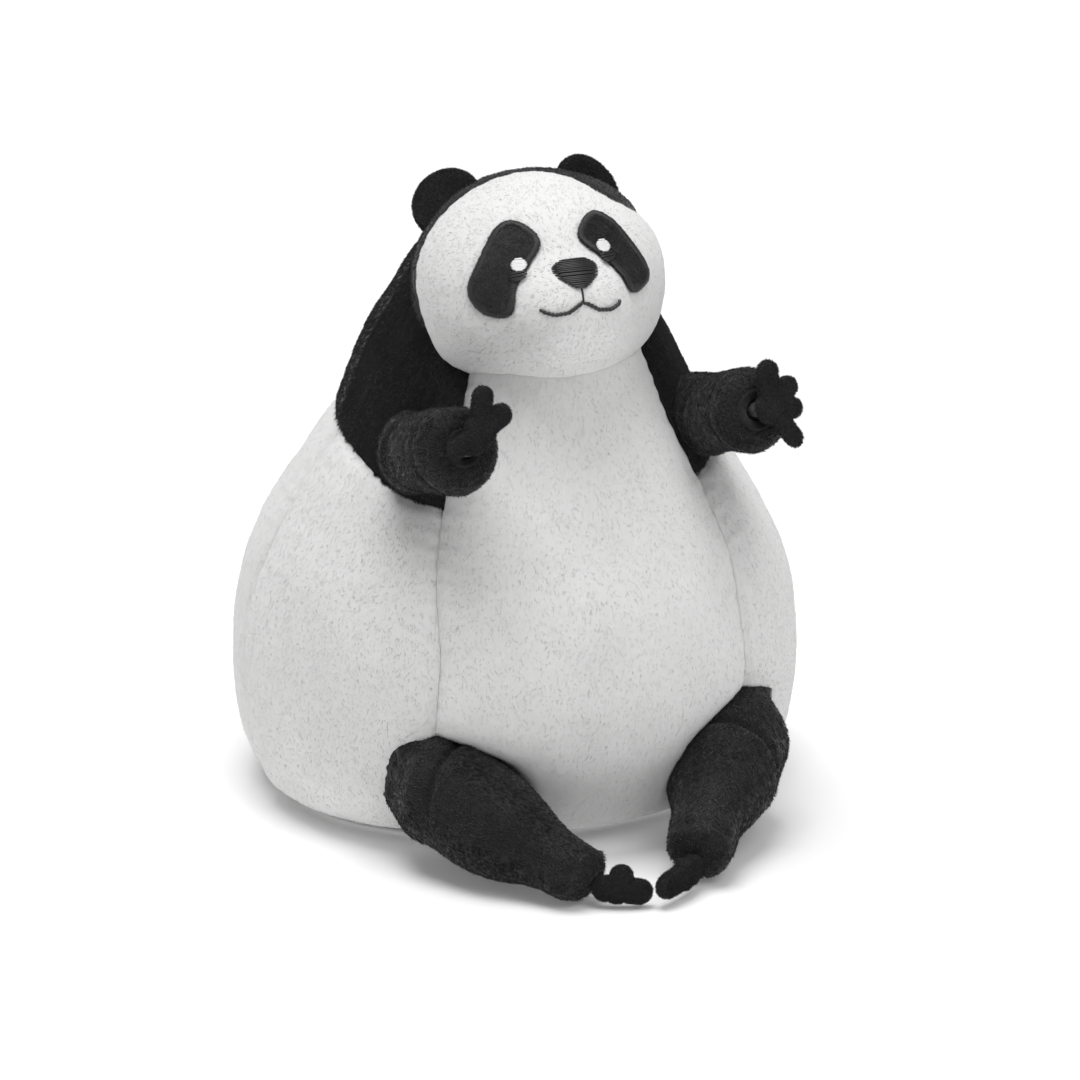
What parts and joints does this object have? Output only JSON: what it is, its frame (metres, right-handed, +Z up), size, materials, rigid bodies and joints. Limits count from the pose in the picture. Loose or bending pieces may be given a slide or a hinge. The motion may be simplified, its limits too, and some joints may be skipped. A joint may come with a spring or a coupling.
{
  "type": "plush panda",
  "caption": "Seated plush panda with a large pear-shaped body, a round head, short arms reaching forward with felt hands, and stubby legs meeting in front.",
  "frame": {"origin": "centre of the bounding box at the floor that the panda sits on", "axes": "+Z up, the panda faces -Y, and its own right side is towards -X"},
  "size_m": [0.1354, 0.1654, 0.1606],
  "materials": {
    "white_plush": "short soft white pile plush",
    "black_plush": "short soft black pile plush",
    "black_felt": "flat black fleece",
    "black_thread": "black satin-stitch embroidery",
    "white_thread": "white satin-stitch embroidery",
    "stuffing": "polyester fibre stuffing"
  },
  "bodies": {
    "torso": {"belly_panel": "white_plush", "back_panel": "white_plush", "upper_back_panel": "black_plush", "right_side_panel": "white_plush", "left_side_panel": "white_plush", "right_shoulder_panel": "black_plush", "left_shoulder_panel": "black_plush", "base_panel": "white_plush", "torso_stuffing": "stuffing", "pellet_pouch": "white_plush"},
    "head": {"muzzle_panel": "white_plush", "face_panel": "white_plush", "back_of_head_panel": "black_plush", "head_stuffing": "stuffing", "nose_embroidery": "black_thread", "mouth_embroidery": "black_thread", "philtrum_embroidery": "black_thread", "right_eye_patch": "black_plush", "right_eye_highlight": "white_thread", "left_eye_patch": "black_plush", "left_eye_highlight": "white_thread"},
    "right_arm": {"right_arm_cover": "black_plush", "right_arm_stuffing": "stuffing"},
    "right_leg": {"right_leg_cover": "black_plush", "right_leg_stuffing": "stuffing"},
    "right_hand": {"right_hand_front": "black_felt", "right_hand_back": "black_felt"},
    "right_foot": {"right_foot_front": "black_felt", "right_foot_back": "black_felt"},
    "right_ear": {"right_ear_front": "black_felt", "right_ear_back": "black_felt"},
    "left_arm": {"left_arm_cover": "black_plush", "left_arm_stuffing": "stuffing"},
    "left_leg": {"left_leg_cover": "black_plush", "left_leg_stuffing": "stuffing"},
    "left_hand": {"left_hand_front": "black_felt", "left_hand_back": "black_felt"},
    "left_foot": {"left_foot_front": "black_felt", "left_foot_back": "black_felt"},
    "left_ear": {"left_ear_front": "black_felt", "left_ear_back": "black_felt"}
  },
  "joints": [
    {"name": "head_turn", "type": "hinge", "parent": "torso", "child": "head", "pos_m": [0, -0.00198, 0.1347], "axis": [0, 0, 1], "range_deg": [-12, 12], "stiffness_Nm_per_rad": 0.02},
    {"name": "right_arm_swing", "type": "hinge", "parent": "torso", "child": "right_arm", "pos_m": [-0.0388, -0.01968, 0.1005], "axis": [-1, 0, 0], "range_deg": [-15, 25], "stiffness_Nm_per_rad": 0.03},
    {"name": "right_hand_bend", "type": "hinge", "parent": "right_arm", "child": "right_hand", "pos_m": [-0.03597, -0.04906, 0.11178], "axis": [-1, 0, 0], "range_deg": [-12, 10], "stiffness_Nm_per_rad": 0.003},
    {"name": "right_leg_swing", "type": "hinge", "parent": "torso", "child": "right_leg", "pos_m": [-0.0386, -0.03558, 0.02], "axis": [0, 0, -1], "range_deg": [0, 45], "stiffness_Nm_per_rad": 0.03},
    {"name": "right_foot_bend", "type": "hinge", "parent": "right_leg", "child": "right_foot", "pos_m": [-0.01268, -0.07741, 0.00693], "axis": [0, 0, -1], "range_deg": [0, 40], "stiffness_Nm_per_rad": 0.003},
    {"name": "right_ear_fold", "type": "hinge", "parent": "head", "child": "right_ear", "pos_m": [-0.01737, 0.01826, 0.15019], "axis": [-0.7408, -0.1315, -0.6588], "range_deg": [-25, 25], "stiffness_Nm_per_rad": 0.003},
    {"name": "left_arm_swing", "type": "hinge", "parent": "torso", "child": "left_arm", "pos_m": [0.0388, -0.01968, 0.1005], "axis": [-1, 0, 0], "range_deg": [-15, 25], "stiffness_Nm_per_rad": 0.03},
    {"name": "left_hand_bend", "type": "hinge", "parent": "left_arm", "child": "left_hand", "pos_m": [0.03975, -0.04916, 0.11182], "axis": [-1, 0, 0], "range_deg": [-12, 10], "stiffness_Nm_per_rad": 0.003},
    {"name": "left_leg_swing", "type": "hinge", "parent": "torso", "child": "left_leg", "pos_m": [0.0386, -0.03447, 0.022], "axis": [0, 0, 1], "range_deg": [0, 45], "stiffness_Nm_per_rad": 0.03},
    {"name": "left_foot_bend", "type": "hinge", "parent": "left_leg", "child": "left_foot", "pos_m": [0.01226, -0.07587, 0.00704], "axis": [0, 0, 1], "range_deg": [0, 40], "stiffness_Nm_per_rad": 0.003},
    {"name": "left_ear_fold", "type": "hinge", "parent": "head", "child": "left_ear", "pos_m": [0.01971, 0.016, 0.15019], "axis": [-0.7192, 0.2208, 0.6588], "range_deg": [-25, 25], "stiffness_Nm_per_rad": 0.003}
  ]
}
